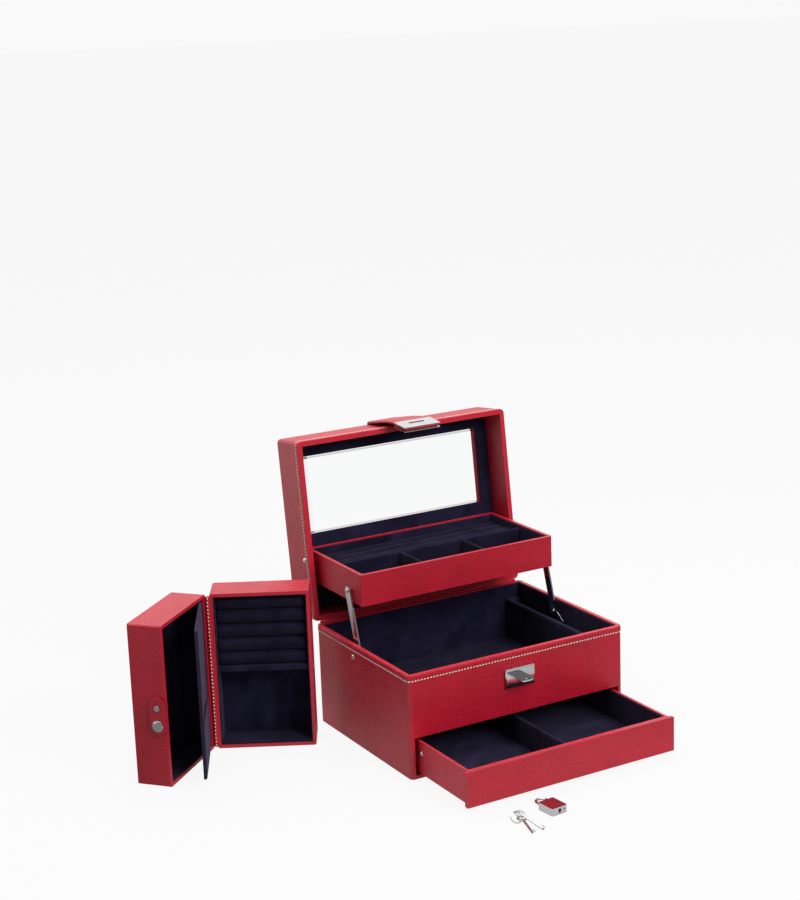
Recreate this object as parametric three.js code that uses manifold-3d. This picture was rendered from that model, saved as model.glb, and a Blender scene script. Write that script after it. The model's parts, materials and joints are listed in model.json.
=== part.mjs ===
// Leather jewellery case: a drawer base and a mirrored lid joined by a parallelogram linkage that
// lifts a tray, with its travel case, padlock and keys.
//
// Millimetres, +Z up, +X to the right of someone facing the case, front towards -Y. The origin is
// the centre of the main case's underside. The lid, tray, drawer and travel case are all open.

import * as THREE from 'three';
import { mergeVertices } from 'three/addons/utils/BufferGeometryUtils.js';
import Module from 'manifold-3d';

const wasm = await Module();
wasm.setup();

// ---------------------------------------------------------------- driving dimensions

const GAP = 0.3; // between pieces that touch

const WIDTH = 290; // main case, outside
const DEPTH = 217;
const BASE_HEIGHT = 122.5;
const LID_HEIGHT = 55;
const LID_OPEN = 96.8; // degrees from shut
const CORNER = 5; // radius of the upright corners

const SHELL = 4.6; // stiff board of the base walls
const LINING = 1.1; // suede on thin card
const LID_WALL = 6;
const BASE_FLOOR = 4;
const BAY_TOP = 48.5; // ceiling of the drawer bay
const OPENING_SIDE = 139; // half the width of the drawer opening

const HINGE_BACK = 1.7; // hinge axis behind the back wall
const HINGE_UP = 0.4; // and above the base rim
const HINGE_Y = DEPTH / 2 + HINGE_BACK;
const HINGE_Z = BASE_HEIGHT + HINGE_UP;

const ARM_LENGTH = 76; // between the pivots of an arm
const ARM_LEAN = 16.5; // degrees behind upright with the lid open
const ARM_FROM_HINGE = { y: -90.9, z: -15.7 }; // base pivot seen from the lid hinge
const ARM_INNER = 135.4; // arm plane, half the span between the two arms
const ARM_THICK = 1.8;
const PIVOT_RADIUS = 1.5;
const PIVOT_CLEARANCE = 0.4;

const TRAY = { width: 265, depth: 135, height: 38, wall: 4, floor: 3, front: 14.8, top: 204.6 };
const DRAWER = { width: 268, depth: 192, wall: 3, low: 6.4, top: 44.8, pulled: 106 };
const DRAWER_FRONT = { width: 276.6, thick: 4.6, low: 4.5, top: 45.2 };

const TRAVEL = { width: 115, height: 189.3, base: 43, lid: 41, wall: 4 };
const TRAVEL_PLACE = { x: -286.3, y: 99.4, turn: -29.3 }; // spine corner and rim direction
const TRAVEL_OPEN = 109.5; // degrees from shut
const TRAVEL_AXIS = { x: -1, y: 2.5 }; // spine axis from the corner
const LEAF_OPEN = 22; // leaf from the mouth of the travel lid, degrees

const RED = 0xa81c33;
const RED_BRIGHT = 0xc81d33;
const NAVY = 0x1c1b2a;
const NAVY_LIGHT = 0x2b2b40;
const STEEL = 0xd9d9dc;

// ---------------------------------------------------------------- small tools

const radians = THREE.MathUtils.degToRad;

function leather(color = RED) {
  return new THREE.MeshStandardMaterial({ color, roughness: 0.5, metalness: 0 });
}

function suede(color = NAVY) {
  return new THREE.MeshStandardMaterial({ color, roughness: 0.95, metalness: 0 });
}

function chrome() {
  return new THREE.MeshStandardMaterial({ color: STEEL, roughness: 0.12, metalness: 1 });
}

function piece(name, geometry, material, parent) {
  const mesh = new THREE.Mesh(geometry, material);
  mesh.name = name;
  parent.add(mesh);
  return mesh;
}

// A closed three.js geometry as a Manifold solid, and back.
function toSolid(geometry) {
  const bare = geometry.clone();
  bare.deleteAttribute('normal');
  bare.deleteAttribute('uv');
  const merged = mergeVertices(bare, 1e-4);
  return new wasm.Manifold(new wasm.Mesh({
    numProp: 3,
    vertProperties: Float32Array.from(merged.attributes.position.array),
    triVerts: Uint32Array.from(merged.index.array),
  }));
}

function fromSolid(solid) {
  const mesh = solid.getMesh();
  const geometry = new THREE.BufferGeometry();
  geometry.setAttribute('position', new THREE.BufferAttribute(mesh.vertProperties, 3));
  geometry.setIndex(new THREE.BufferAttribute(mesh.triVerts, 1));
  return geometry;
}

function cut(geometry, ...tools) {
  return fromSolid(tools.reduce((solid, tool) => solid.subtract(toSolid(tool)), toSolid(geometry)));
}

function join(geometry, ...others) {
  return fromSolid(others.reduce((solid, other) => solid.add(toSolid(other)), toSolid(geometry)));
}

// Rectangle with round corners, centred on the origin.
function roundedShape(width, depth, radius) {
  const shape = new THREE.Shape();
  const x = width / 2 - radius;
  const y = depth / 2 - radius;
  shape.absarc(x, y, radius, 0, Math.PI / 2);
  shape.absarc(-x, y, radius, Math.PI / 2, Math.PI);
  shape.absarc(-x, -y, radius, Math.PI, 1.5 * Math.PI);
  shape.absarc(x, -y, radius, 1.5 * Math.PI, 2 * Math.PI);
  return shape;
}

function prism(shape, height, curveSegments = 4) {
  return new THREE.ExtrudeGeometry(shape, { depth: height, bevelEnabled: false, curveSegments });
}

// Upright block with round corners: centre in plan, lowest and highest z.
function block(width, depth, low, high, radius = 0.8) {
  return prism(roundedShape(width, depth, radius), high - low).translate(0, 0, low);
}

// Straight box given by its limits.
function box(x0, x1, y0, y1, z0, z1) {
  const geometry = new THREE.BoxGeometry(x1 - x0, y1 - y0, z1 - z0);
  return geometry.translate((x0 + x1) / 2, (y0 + y1) / 2, (z0 + z1) / 2);
}

// Open-topped box with round upright corners.
function tub(width, depth, low, high, wall, floor, radius = CORNER) {
  const inner = Math.max(radius - wall, 0.5);
  const hollow = block(width - 2 * wall, depth - 2 * wall, low + floor, high + 1, inner);
  return cut(block(width, depth, low, high, radius), hollow);
}

// Cylinder along X between two x values.
function barX(radius, x0, x1, y, z, segments = 16) {
  const bar = new THREE.CylinderGeometry(radius, radius, x1 - x0, segments);
  return bar.rotateZ(-Math.PI / 2).translate((x0 + x1) / 2, y, z);
}

// Turned piece along X: profile of [radius, x] pairs, on the axis at both ends.
function turnedX(profile, y, z, segments = 16) {
  const points = profile.map(([radius, x]) => new THREE.Vector2(radius, x));
  return new THREE.LatheGeometry(points, segments).rotateZ(-Math.PI / 2).translate(0, y, z);
}

// The same piece on the other side of the case.
function mirrored(geometry, side) {
  if (side > 0) return geometry;
  const flipped = geometry.index ? geometry.toNonIndexed() : geometry.clone();
  flipped.scale(-1, 1, 1);
  const positions = flipped.attributes.position;
  for (let i = 0; i < positions.count; i += 3) {
    const second = new THREE.Vector3().fromBufferAttribute(positions, i + 1);
    const third = new THREE.Vector3().fromBufferAttribute(positions, i + 2);
    positions.setXYZ(i + 1, third.x, third.y, third.z);
    positions.setXYZ(i + 2, second.x, second.y, second.z);
  }
  return flipped;
}

const SIDES = [['left', -1], ['right', 1]];

// ---------------------------------------------------------------- frames

const jewelleryCase = new THREE.Group();

// Built shut, with its origin on the hinge axis, then swung open.
const lid = new THREE.Group();
lid.position.set(0, HINGE_Y, HINGE_Z);
lid.rotation.x = -radians(LID_OPEN);
jewelleryCase.add(lid);

// Arm pivot on the base, and the same parallelogram side from the lid hinge to the tray.
const ARM_BASE = { y: HINGE_Y + ARM_FROM_HINGE.y, z: HINGE_Z + ARM_FROM_HINGE.z };
const ARM_REACH = {
  y: ARM_LENGTH * Math.sin(radians(ARM_LEAN)),
  z: ARM_LENGTH * Math.cos(radians(ARM_LEAN)),
};
const TRAY_REAR = { y: HINGE_Y + ARM_REACH.y, z: HINGE_Z + ARM_REACH.z };
const TRAY_FRONT = { y: ARM_BASE.y + ARM_REACH.y, z: ARM_BASE.z + ARM_REACH.z };

const SHUT_ANGLE = radians(90 - ARM_LEAN + LID_OPEN);
const LID_PIVOT = { y: ARM_LENGTH * Math.cos(SHUT_ANGLE), z: ARM_LENGTH * Math.sin(SHUT_ANGLE) };

// ---------------------------------------------------------------- base of the main case

const FRONT = -DEPTH / 2;
const SHELF = { low: BAY_TOP + GAP, high: BAY_TOP + 3.5 };
const LINING_SIDE = WIDTH / 2 - SHELL - GAP;
const LINING_END = DEPTH / 2 - SHELL - GAP;
const LINING_TOP = BASE_HEIGHT - 1.5;

function caseShell() {
  const inside = block(WIDTH - 2 * SHELL, DEPTH - 2 * SHELL, BASE_FLOOR, BASE_HEIGHT + 1, 1);
  const opening = box(-OPENING_SIDE, OPENING_SIDE, FRONT - 1, FRONT + SHELL + 1, BASE_FLOOR, BAY_TOP);
  const holes = SIDES.map(([, side]) => pivotHole(side * (WIDTH / 2 - 4), ARM_BASE.y, ARM_BASE.z, 12));
  return cut(block(WIDTH, DEPTH, 0, BASE_HEIGHT, CORNER), inside, opening, ...holes);
}

function pivotHole(x, y, z, length) {
  return barX(PIVOT_RADIUS + PIVOT_CLEARANCE, x - length / 2, x + length / 2, y, z, 12);
}

piece('case_shell', caseShell(), leather(), jewelleryCase);

piece('well_floor', block(2 * LINING_SIDE, 2 * LINING_END, SHELF.low, SHELF.high), suede(), jewelleryCase);

function wellLining() {
  const low = SHELF.high + GAP;
  const body = tub(2 * LINING_SIDE, 2 * LINING_END, low, LINING_TOP, LINING, LINING, 1);
  return cut(body, ...SIDES.map(([, side]) => pivotHole(side * LINING_SIDE, ARM_BASE.y, ARM_BASE.z, 8)));
}

piece('well_lining', wellLining(), suede(), jewelleryCase);

// Padded side of the well, flared at both ends to the wall and leaving a slot where an arm folds.
const RAIL = { inner: 119, thick: 6, top: 104, slotFront: -74, slotBack: 84, flare: 12 };

function sideRail(side) {
  const outer = LINING_SIDE - LINING - GAP;
  const end = LINING_END - LINING - GAP;
  const face = RAIL.inner + RAIL.thick;
  const shape = new THREE.Shape();
  shape.moveTo(RAIL.inner, -end);
  shape.lineTo(outer, -end);
  shape.lineTo(outer, RAIL.slotFront - RAIL.flare);
  shape.quadraticCurveTo(face, RAIL.slotFront - RAIL.flare, face, RAIL.slotFront);
  shape.lineTo(face, RAIL.slotBack);
  shape.quadraticCurveTo(face, RAIL.slotBack + RAIL.flare, outer, RAIL.slotBack + RAIL.flare);
  shape.lineTo(outer, end);
  shape.lineTo(RAIL.inner, end);
  shape.closePath();
  const low = SHELF.high + LINING + 2 * GAP;
  return mirrored(prism(shape, RAIL.top - low, 5).translate(0, 0, low), side);
}

for (const [name, side] of SIDES) {
  piece(`side_rail_${name}`, sideRail(side), suede(NAVY_LIGHT), jewelleryCase);
}

// Bolt through the wall: domed head outside, shaft, and the domed rivet head that keeps the arm on.
function basePivot(side) {
  const outside = WIDTH / 2 + GAP;
  const inside = ARM_INNER - GAP;
  const profile = [
    [0, inside - 1.8], [2.2, inside - 1.5], [3.3, inside - 0.5], [3.4, inside], [PIVOT_RADIUS, inside],
    [PIVOT_RADIUS, outside], [2.6, outside], [2.4, outside + 0.8], [1.2, outside + 1.4], [0, outside + 1.5],
  ];
  return mirrored(turnedX(profile, ARM_BASE.y, ARM_BASE.z), side);
}

// Torsion spring beside the arm: nearly one turn round the pivot, then a leg forward and down.
const SPRING = { wire: 0.45, coil: 2.7, turn: 300, leg: 20, legAngle: 127, x: 138 };

function armSpring(side) {
  const points = [];
  const steps = 20;
  for (let i = 0; i <= steps; i += 1) {
    const angle = radians(SPRING.legAngle - SPRING.turn * (1 - i / steps));
    const y = ARM_BASE.y + SPRING.coil * Math.cos(angle);
    const z = ARM_BASE.z + SPRING.coil * Math.sin(angle);
    points.push(new THREE.Vector3(SPRING.x, y, z));
  }
  const end = radians(SPRING.legAngle);
  const along = new THREE.Vector3(0, -Math.sin(end), Math.cos(end));
  points.push(points[steps].clone().addScaledVector(along, SPRING.leg));
  const path = new THREE.CurvePath();
  for (let i = 1; i < points.length; i += 1) path.add(new THREE.LineCurve3(points[i - 1], points[i]));
  const section = new THREE.Shape().absarc(0, 0, SPRING.wire, 0, 2 * Math.PI);
  const options = { steps: 30, bevelEnabled: false, extrudePath: path, curveSegments: 3 };
  return mirrored(new THREE.ExtrudeGeometry(section, options), side);
}

for (const [name, side] of SIDES) {
  piece(`base_pivot_${name}`, basePivot(side), chrome(), jewelleryCase);
  piece(`arm_spring_${name}`, armSpring(side), chrome(), jewelleryCase);
}

// Leather-covered cord along the hinge line.
piece('hinge_roll', barX(1.3, -WIDTH / 2 + 6, WIDTH / 2 - 6, HINGE_Y, HINGE_Z, 10), leather(), jewelleryCase);

// Hasp: bevelled plate on the front wall and the flat staple that the clasp drops over.
const HASP = { width: 39.7, low: 80.2, high: 103.6, thick: 3.2, bevel: 1 };
const STAPLE = { width: 18.5, reach: 17, thick: 1.6, z: 92.7, round: 4, eye: 2.4, eyeAt: 12.9 };

function hasp() {
  const { width, low, high, thick, bevel } = HASP;
  const outline = roundedShape(width - 2 * bevel, high - low - 2 * bevel, 0.6);
  const options = { depth: thick - bevel, bevelThickness: bevel, bevelSize: bevel, bevelSegments: 1 };
  const plate = new THREE.ExtrudeGeometry(outline, { ...options, bevelEnabled: true, curveSegments: 3 });
  plate.rotateX(Math.PI / 2).translate(0, FRONT - GAP, (low + high) / 2);
  const wall = box(-width, width, FRONT - GAP, FRONT + 10, low - 5, high + 5);
  return join(cut(plate, wall), staple(FRONT - GAP - thick));
}

// Flat tongue with round corners and an eye near its tip, standing out from y = face.
function staple(face) {
  const half = STAPLE.width / 2;
  const side = half - STAPLE.round;
  const tip = face - STAPLE.reach;
  const shape = new THREE.Shape();
  shape.moveTo(-half, face + 1);
  shape.lineTo(-half, tip + STAPLE.round);
  shape.absarc(-side, tip + STAPLE.round, STAPLE.round, Math.PI, 1.5 * Math.PI);
  shape.absarc(side, tip + STAPLE.round, STAPLE.round, 1.5 * Math.PI, 2 * Math.PI);
  shape.lineTo(half, face + 1);
  shape.closePath();
  shape.holes.push(new THREE.Path().absarc(0, face - STAPLE.eyeAt, STAPLE.eye, 0, 2 * Math.PI, true));
  return prism(shape, STAPLE.thick, 5).translate(0, 0, STAPLE.z - STAPLE.thick / 2);
}

piece('hasp', hasp(), chrome(), jewelleryCase);

// ---------------------------------------------------------------- drawer

const drawer = new THREE.Group();
drawer.position.y = FRONT - DRAWER.pulled; // outer face of the drawer front
jewelleryCase.add(drawer);

function drawerFront() {
  const height = DRAWER_FRONT.top - DRAWER_FRONT.low;
  const panel = prism(roundedShape(DRAWER_FRONT.width, height, 1.2), DRAWER_FRONT.thick);
  const middle = (DRAWER_FRONT.top + DRAWER_FRONT.low) / 2;
  return panel.rotateX(Math.PI / 2).translate(0, DRAWER_FRONT.thick, middle);
}

const BOX_FRONT = DRAWER_FRONT.thick + GAP;
const BOX_MIDDLE = BOX_FRONT + DRAWER.depth / 2;
const DRAWER_BOARD = 2.2;

function drawerBox() {
  const body = tub(DRAWER.width, DRAWER.depth, DRAWER.low, DRAWER.top, DRAWER.wall, DRAWER_BOARD, 1.2);
  return body.translate(0, BOX_MIDDLE, 0);
}

const DRAWER_LINING = {
  width: DRAWER.width - 2 * (DRAWER.wall + GAP),
  depth: DRAWER.depth - 2 * (DRAWER.wall + GAP),
  low: DRAWER.low + DRAWER_BOARD + GAP,
  top: DRAWER.top - 1,
};

function drawerLining() {
  const { width, depth, low, top } = DRAWER_LINING;
  return tub(width, depth, low, top, LINING, LINING, 1).translate(0, BOX_MIDDLE, 0);
}

// Upright padded partition with a round top, lying along Y.
function partitionY(thick, length, low, high) {
  const shape = new THREE.Shape();
  shape.moveTo(-thick / 2, low);
  shape.lineTo(thick / 2, low);
  shape.lineTo(thick / 2, high - thick / 2);
  shape.absarc(0, high - thick / 2, thick / 2, 0, Math.PI);
  shape.closePath();
  return prism(shape, length, 6).rotateX(Math.PI / 2).translate(0, length / 2, 0);
}

function drawerDivider() {
  const length = DRAWER_LINING.depth - 2 * (LINING + GAP);
  const low = DRAWER_LINING.low + LINING + GAP;
  return partitionY(4.5, length, low, DRAWER.top - 3.5).translate(0, BOX_MIDDLE, 0);
}

// Domed stop screw in the drawer side.
const STOP = { radius: 2.2, back: 102, z: 30.8, proud: 1.4 };

function drawerStop(side) {
  const x = DRAWER.width / 2 + GAP;
  const profile = [[0, x], [STOP.radius, x], [STOP.radius * 0.8, x + 0.9], [0, x + STOP.proud]];
  return mirrored(turnedX(profile, STOP.back, STOP.z, 12), side);
}

piece('drawer_front', drawerFront(), leather(), drawer);
piece('drawer_box', drawerBox(), leather(RED_BRIGHT), drawer);
piece('drawer_lining', drawerLining(), suede(), drawer);
piece('drawer_divider', drawerDivider(), suede(NAVY_LIGHT), drawer);
for (const [name, side] of SIDES) piece(`drawer_stop_${name}`, drawerStop(side), chrome(), drawer);

// ---------------------------------------------------------------- lid, drawn shut over the base

const LID_RIM = HINGE_UP; // rim above the hinge axis
const LID_TOP = LID_RIM + LID_HEIGHT;
const LID_MIDDLE = -HINGE_BACK - DEPTH / 2;
const LID_FRONT = -HINGE_BACK - DEPTH;
const PANEL_DEPTH = 37; // from the rim down to the mirror board
const MIRROR = { width: 248, length: 95, fromBack: 98.5, thick: 3, seat: 3.6 };

function lidShell() {
  const roof = LID_TOP - LID_WALL;
  const inside = block(WIDTH - 2 * LID_WALL, DEPTH - 2 * LID_WALL, LID_RIM - 1, roof, 1);
  inside.translate(0, LID_MIDDLE, 0);
  const outside = block(WIDTH, DEPTH, LID_RIM, LID_TOP, CORNER).translate(0, LID_MIDDLE, 0);
  return cut(outside, inside, ...SIDES.map(([, side]) => pivotHole(side * 142, LID_PIVOT.y, LID_PIVOT.z, 14)));
}

// Suede-covered board that closes the lid, with a seat for the mirror.
function mirrorBoard() {
  const margin = 2 * (LID_WALL + GAP);
  const low = LID_RIM + PANEL_DEPTH;
  const high = LID_TOP - LID_WALL - GAP;
  const board = block(WIDTH - margin, DEPTH - margin, low, high, 1).translate(0, LID_MIDDLE, 0);
  const y = -HINGE_BACK - MIRROR.fromBack - MIRROR.length / 2;
  const seat = block(MIRROR.width, MIRROR.length, low - 1, low + MIRROR.seat, 0.5).translate(0, y, 0);
  return cut(board, seat);
}

// Bevelled mirror: the extruded plate plus a shallow bevel on the side that shows.
function mirrorGlass() {
  const bevel = 0.8;
  const inset = 2 * (GAP + 0.1);
  const width = MIRROR.width - inset;
  const length = MIRROR.length - inset;
  const plate = block(width, length, bevel, MIRROR.thick, 0.5);
  const face = new THREE.CylinderGeometry(Math.SQRT1_2, Math.SQRT1_2, 1, 4, 1).rotateY(Math.PI / 4);
  const positions = face.attributes.position;
  for (let i = 0; i < positions.count; i += 1) {
    const shrink = positions.getY(i) < 0 ? 5 : 0.4;
    const x = positions.getX(i) * (width - shrink);
    const y = positions.getZ(i) * (length - shrink);
    positions.setXYZ(i, x, -y, positions.getY(i) < 0 ? 0 : bevel + 0.2);
  }
  const low = LID_RIM + PANEL_DEPTH + MIRROR.seat - GAP - MIRROR.thick;
  const middle = -HINGE_BACK - MIRROR.fromBack - MIRROR.length / 2;
  return join(plate, face).translate(0, middle, low);
}

// Bolt through the lid wall into the side of the tray.
function lidPivot(side) {
  const outside = WIDTH / 2 + GAP;
  const inside = TRAY.width / 2 - TRAY.wall + 0.8;
  const profile = [
    [0, inside], [PIVOT_RADIUS, inside], [PIVOT_RADIUS, outside], [2.8, outside],
    [2.6, outside + 0.8], [1.3, outside + 1.5], [0, outside + 1.6],
  ];
  return mirrored(turnedX(profile, LID_PIVOT.y, LID_PIVOT.z), side);
}

piece('lid_shell', lidShell(), leather(), lid);
piece('mirror_board', mirrorBoard(), suede(), lid);
const glass = new THREE.MeshStandardMaterial({ color: 0xf2f4f6, roughness: 0.02, metalness: 1 });
piece('mirror', mirrorGlass(), glass, lid);
for (const [name, side] of SIDES) piece(`lid_pivot_${name}`, lidPivot(side), chrome(), lid);

// ---------------------------------------------------------------- strap and clasp

const STRAP = { width: 47, thick: 3.2, fold: 1.6, anchor: 45 };
const FOLD = { out: 2.2, up: 57.4 }; // fold axis from the foot of the lid's front wall

// A point beside the lid's front wall: up from the rim, and out from the wall.
function besideLid(up, out) {
  return new THREE.Vector2(LID_FRONT - out, LID_RIM + up);
}

// Leather anchor stitched to the top of the lid.
function strapAnchor() {
  const y0 = LID_FRONT + 0.4;
  const geometry = block(STRAP.width, STRAP.anchor, LID_TOP + GAP, LID_TOP + GAP + STRAP.thick, 3);
  return geometry.translate(0, y0 + STRAP.anchor / 2, 0);
}

// Middle line of the loose strap: an arch over the lid wall, then straight between the plates.
const STRAP_END = { from: besideLid(-21, 5.6), to: besideLid(-46.5, 0) };
const strapArch = new THREE.CubicBezierCurve(
  besideLid(55.2, 2.4), besideLid(38, 9), besideLid(2, 10.6), STRAP_END.from,
);
const BEND_AT = 0.2; // share of the arch at the axis where the flap swings on the fold

// A strip of leather of the strap's size, drawn along the points of its middle line.
function strapStrip(middle) {
  const outer = [];
  const inner = [];
  middle.forEach((point, i) => {
    const before = middle[Math.max(i - 1, 0)];
    const after = middle[Math.min(i + 1, middle.length - 1)];
    const along = after.clone().sub(before).normalize();
    const side = new THREE.Vector2(along.y, -along.x).multiplyScalar(STRAP.thick / 2);
    outer.push(point.clone().add(side));
    inner.unshift(point.clone().sub(side));
  });
  // The shape lies in the Y-Z plane: extrude along X.
  const strip = prism(new THREE.Shape([...outer, ...inner]), STRAP.width);
  return strip.rotateY(Math.PI / 2).rotateX(Math.PI / 2).translate(-STRAP.width / 2, 0, 0);
}

// Points of the arch between two shares of its length.
function archPoints(from, to, steps) {
  return Array.from({ length: steps + 1 }, (_, i) => strapArch.getPoint(from + ((to - from) * i) / steps));
}

// The turn of the leather over the edge of the lid, down to where the flap swings.
function strapFold() {
  const turn = besideLid(FOLD.up, FOLD.out);
  const bend = strapArch.getPoint(BEND_AT);
  const bar = (centre) => barX(STRAP.fold, -STRAP.width / 2, STRAP.width / 2, centre.x, centre.y, 12);
  return join(strapStrip([turn, ...archPoints(0, BEND_AT, 3)]), bar(turn), bar(bend));
}

// The rest of the strap starts just clear of the round end of the fold.
function claspStrap() {
  const start = BEND_AT + (STRAP.fold + 0.3) / strapArch.getLength();
  const flap = strapStrip([...archPoints(start, 1, 8), STRAP_END.to]);
  return cut(flap, claspSlot(20));
}

// Clasp plates: local X along the case, local Y outwards through the leather, local Z up the strap.
const CLASP = { width: 50, length: 25, thick: 1.1, slot: 21, slotHeight: 4, slotAt: 14.7 };

// Cutter for the slot that takes the staple, reaching this far to each side.
function claspSlot(reach) {
  const half = CLASP.slot / 2;
  const slot = box(-half, half, -reach, reach, -CLASP.slotHeight / 2, CLASP.slotHeight / 2);
  return onClasp(slot, CLASP.slotAt);
}

function onClasp(geometry, fromEnd) {
  const along = STRAP_END.from.clone().sub(STRAP_END.to).normalize();
  const lean = Math.atan2(along.x, along.y);
  const place = STRAP_END.to.clone().addScaledVector(along, fromEnd);
  return geometry.rotateX(-lean).translate(0, place.x, place.y);
}

function claspPlate(face) {
  const plate = prism(roundedShape(CLASP.width, CLASP.length, 1.2), CLASP.thick);
  plate.rotateX(Math.PI / 2).translate(0, CLASP.thick / 2, 0);
  plate.translate(0, face * (STRAP.thick / 2 + GAP + CLASP.thick / 2), 0);
  return cut(onClasp(plate, CLASP.length / 2), claspSlot(20));
}

piece('strap_anchor', strapAnchor(), leather(), lid);
piece('strap_fold', strapFold(), leather(), lid);
piece('clasp_strap', claspStrap(), leather(), lid);
piece('clasp_plate_outer', claspPlate(-1), chrome(), lid);
piece('clasp_plate_inner', claspPlate(1), chrome(), lid);

// ---------------------------------------------------------------- lifting arms

// Flat bar with round ends and a hole at each pivot.
function armBar(side) {
  const half = 5.5;
  const shape = new THREE.Shape();
  shape.absarc(0, 0, half, Math.PI, 2 * Math.PI);
  shape.absarc(0, ARM_LENGTH, half, 0, Math.PI);
  shape.closePath();
  for (const [y, radius] of [[0, PIVOT_RADIUS + PIVOT_CLEARANCE], [ARM_LENGTH, PIVOT_RADIUS + 0.6]]) {
    shape.holes.push(new THREE.Path().absarc(0, y, radius, 0, 2 * Math.PI, true));
  }
  const bar = prism(shape, ARM_THICK, 8);
  // Shape X becomes -Y and shape Y becomes Z, so the bar stands in the Y-Z plane.
  bar.rotateX(Math.PI / 2).rotateZ(Math.PI / 2).translate(ARM_INNER, 0, 0);
  bar.rotateX(-radians(ARM_LEAN)).translate(0, ARM_BASE.y, ARM_BASE.z);
  return mirrored(bar, side);
}

for (const [name, side] of SIDES) piece(`arm_${name}`, armBar(side), chrome(), jewelleryCase);

// ---------------------------------------------------------------- tray

const TRAY_LOW = TRAY.top - TRAY.height;
const TRAY_MIDDLE = TRAY.front + TRAY.depth / 2;

function trayShell() {
  const body = tub(TRAY.width, TRAY.depth, TRAY_LOW, TRAY.top, TRAY.wall, TRAY.floor, 2.5);
  body.translate(0, TRAY_MIDDLE, 0);
  const x = TRAY.width / 2;
  return cut(body, ...SIDES.map(([, side]) => pivotHole(side * x, TRAY_REAR.y, TRAY_REAR.z, 2 * TRAY.wall + 1)));
}

const TRAY_LINING = {
  width: TRAY.width - 2 * (TRAY.wall + GAP),
  depth: TRAY.depth - 2 * (TRAY.wall + GAP),
  low: TRAY_LOW + TRAY.floor + GAP,
  top: TRAY.top - 1.2,
};
const COMPARTMENT = {
  side: TRAY_LINING.width / 2 - LINING - GAP,
  front: TRAY_MIDDLE - TRAY_LINING.depth / 2 + LINING + GAP,
  back: TRAY_MIDDLE + TRAY_LINING.depth / 2 - LINING - GAP,
  floor: TRAY_LINING.low + LINING + GAP,
};
const LONG_DIVIDER = { y: 78, thick: 3.6, top: TRAY.top - 2.2 };
const CROSS_DIVIDERS = { x: 43, thick: 3.2, top: TRAY.top - 2.6 };

function trayLining() {
  const { width, depth, low, top } = TRAY_LINING;
  return tub(width, depth, low, top, LINING, LINING, 1).translate(0, TRAY_MIDDLE, 0);
}

function longDivider() {
  const bar = partitionY(LONG_DIVIDER.thick, 2 * COMPARTMENT.side, COMPARTMENT.floor, LONG_DIVIDER.top);
  return bar.rotateZ(Math.PI / 2).translate(0, LONG_DIVIDER.y, 0);
}

function crossDivider(side) {
  const back = LONG_DIVIDER.y - LONG_DIVIDER.thick / 2 - GAP;
  const length = back - COMPARTMENT.front;
  const wall = partitionY(CROSS_DIVIDERS.thick, length, COMPARTMENT.floor, CROSS_DIVIDERS.top);
  return wall.translate(side * CROSS_DIVIDERS.x, COMPARTMENT.front + length / 2, 0);
}

// Ring rolls: padded cylinders side by side, with a flat underside where they rest.
function paddedRoll(radius, length) {
  return new THREE.CylinderGeometry(radius, radius, length, 14).rotateZ(Math.PI / 2);
}

const TRAY_ROLLS = 4;
const ROLL_SPAN = COMPARTMENT.back - LONG_DIVIDER.y - LONG_DIVIDER.thick / 2 - GAP;
const ROLL_PITCH = ROLL_SPAN / TRAY_ROLLS;
const ROLL_RADIUS = (ROLL_PITCH - GAP) / 2;
const ROLL_CENTRE = TRAY.top - 8.5 - ROLL_RADIUS;

function trayPin(side) {
  const inner = TRAY.width / 2 + GAP;
  const head = ARM_INNER + ARM_THICK + GAP;
  const profile = [
    [0, inner], [2.6, inner], [2.6, inner + 2.2], [PIVOT_RADIUS, inner + 2.2], [PIVOT_RADIUS, head],
    [2.7, head], [2.5, head + 0.7], [0, head + 1],
  ];
  return mirrored(turnedX(profile, TRAY_FRONT.y, TRAY_FRONT.z), side);
}

piece('tray_shell', trayShell(), leather(), jewelleryCase);
piece('tray_lining', trayLining(), suede(), jewelleryCase);
piece('tray_long_divider', longDivider(), suede(NAVY_LIGHT), jewelleryCase);
for (const [name, side] of SIDES) {
  piece(`tray_divider_${name}`, crossDivider(side), suede(NAVY_LIGHT), jewelleryCase);
  piece(`tray_pin_${name}`, trayPin(side), chrome(), jewelleryCase);
}
for (let i = 0; i < TRAY_ROLLS; i += 1) {
  const y = COMPARTMENT.back - ROLL_PITCH * (i + 0.5);
  const roll = paddedRoll(ROLL_RADIUS, 2 * COMPARTMENT.side - 1).translate(0, y, ROLL_CENTRE);
  piece(`tray_ring_roll_${i + 1}`, roll, suede(NAVY_LIGHT), jewelleryCase);
}

// ---------------------------------------------------------------- travel case

// Stands on its end. Local X runs along the rim from the spine, local Y goes into the base half.
const travel = new THREE.Group();
travel.position.set(TRAVEL_PLACE.x, TRAVEL_PLACE.y, 0);
travel.rotation.z = radians(TRAVEL_PLACE.turn);
jewelleryCase.add(travel);

const SPINE_GAP = 0.6; // each half stands this far from the spine corner and from the rim plane
const RIM_GAP = 0.5;
const TRAVEL_MIDDLE = SPINE_GAP + TRAVEL.width / 2;

// Open box whose mouth faces -Y at y = 0.
function travelBox(width, height, depth, wall, floor, radius) {
  const body = tub(width, height, 0, depth, wall, floor, radius);
  return body.rotateX(Math.PI / 2).translate(0, depth, 0);
}

function travelHalf(depth) {
  const shell = travelBox(TRAVEL.width, TRAVEL.height, depth, TRAVEL.wall, TRAVEL.wall, 2.5);
  return shell.translate(TRAVEL_MIDDLE, RIM_GAP, TRAVEL.height / 2);
}

const INSERT = { inset: TRAVEL.wall + GAP, mouth: 1.2, ledgeLow: 93, ledgeHigh: 98.8, ledgeMouth: 4 };

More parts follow.
